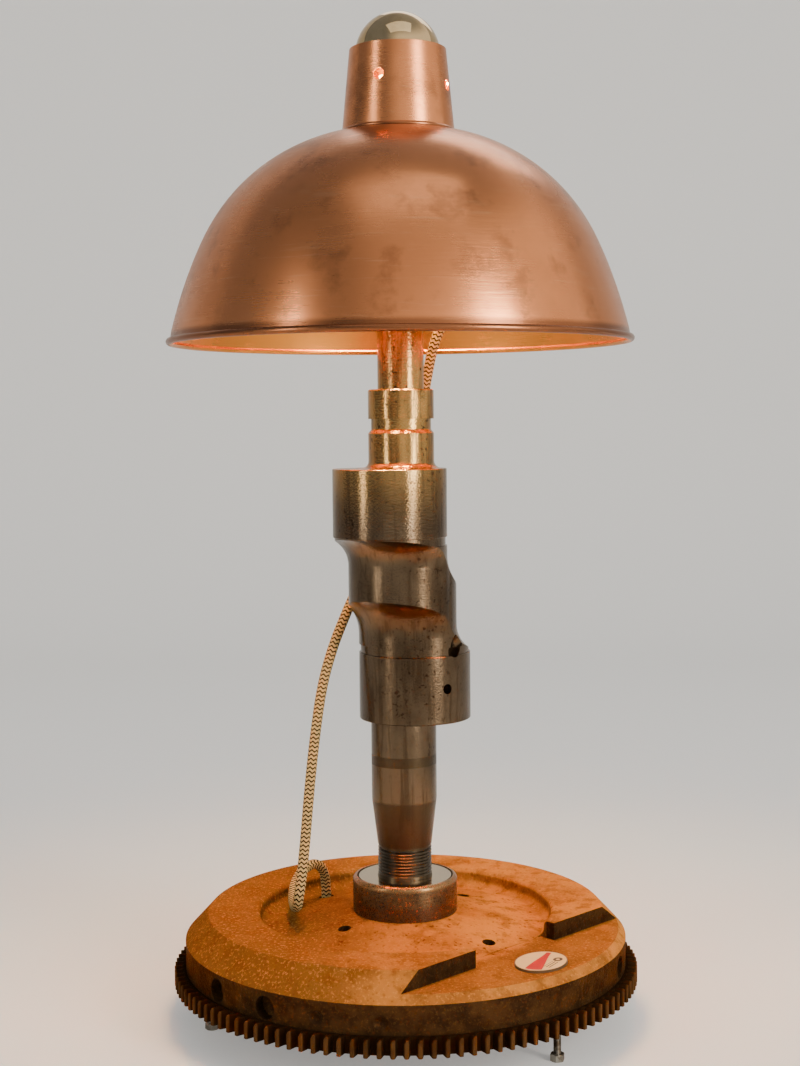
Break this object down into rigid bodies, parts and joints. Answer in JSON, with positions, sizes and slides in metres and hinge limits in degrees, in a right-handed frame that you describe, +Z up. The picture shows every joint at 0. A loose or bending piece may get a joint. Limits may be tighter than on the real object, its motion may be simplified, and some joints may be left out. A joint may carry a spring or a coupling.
{
  "type": "table lamp",
  "caption": "Table lamp made from engine parts: a flywheel with ring gear on bolt feet, an eccentric shaft as its column, a copper dome shade and a mirror-topped bulb.",
  "frame": {"origin": "middle of the standing face under the foot bolts, on the shaft's axis", "axes": "+Z up along the shaft, -Y towards the front, +X to the right"},
  "size_m": [0.305, 0.4439, 0.6528],
  "materials": {
    "cast_rust": "rusty under clear lacquer",
    "gear_steel": "oily and browned",
    "foot_steel": "zinc plated, dulled",
    "collar_steel": "brown lacquer",
    "disc_steel": "polished",
    "shaft_steel": "ground journals, forged web, brown lacquer",
    "badge_enamel": "printed and domed",
    "copper_sheet": "satin copper with patina",
    "rim_steel": "drawn wire",
    "holder_brass": "aged brass",
    "holder_ceramic": "glazed",
    "bulb_glass": "clear",
    "bulb_mirror": "mirrored",
    "cap_alloy": "satin",
    "bulb_black": "glossy",
    "filament": "glowing",
    "cord_textile": "braided, black and cream",
    "black_plastic": "moulded",
    "rocker_plastic": "moulded",
    "grommet_rubber": "moulded",
    "contact_metal": "nickel-plated"
  },
  "bodies": {
    "lamp": {"flywheel": "cast_rust", "ring_gear": "gear_steel", "foot_bolts": "foot_steel", "foot_lock_nuts": "foot_steel", "hub_collar": "collar_steel", "polished_disc": "disc_steel", "shaft_washer": "foot_steel", "shaft_nut": "foot_steel", "badge": "badge_enamel", "eccentric_shaft": "shaft_steel", "stem_plug": "holder_brass", "stem_tube": "holder_brass", "stem_nuts": "holder_brass", "holder_cap": "holder_brass", "cord_outlet": "holder_brass", "holder_sleeve": "holder_brass", "holder_insert": "holder_ceramic", "screw_shell": "contact_metal", "centre_contact": "contact_metal", "lower_shade_ring": "holder_brass", "upper_shade_ring": "holder_brass", "shade_spider": "copper_sheet", "shade_dome": "copper_sheet", "rim_wire": "rim_steel", "shade_neck": "copper_sheet", "bulb_glass": "bulb_glass", "bulb_mirror_crown": "bulb_mirror", "bulb_contact": "contact_metal", "bulb_insulator": "bulb_black", "bulb_cap": "cap_alloy", "bulb_stem": "bulb_glass", "bulb_filaments": "filament", "filament_carriers": "contact_metal", "cord_grommet": "grommet_rubber", "switch_lower_shell": "black_plastic", "switch_upper_shell": "black_plastic", "switch_screws": "foot_steel", "switch_terminals": "contact_metal", "plug_body": "black_plastic", "plug_pins": "contact_metal", "plug_earth_clips": "contact_metal", "cord_upper": "cord_textile", "cord_lower": "cord_textile", "cord_middle": "cord_textile", "cord_coil": "cord_textile", "cord_tail": "cord_textile"},
    "rocker": {"switch_rocker": "rocker_plastic"}
  },
  "joints": [
    {"name": "switch_rocker_tilt", "type": "hinge", "parent": "lamp", "child": "rocker", "pos_m": [-0.1, 0.203, 0.0161], "axis": [1, 0, 0], "range_deg": [-16, 0]}
  ]
}
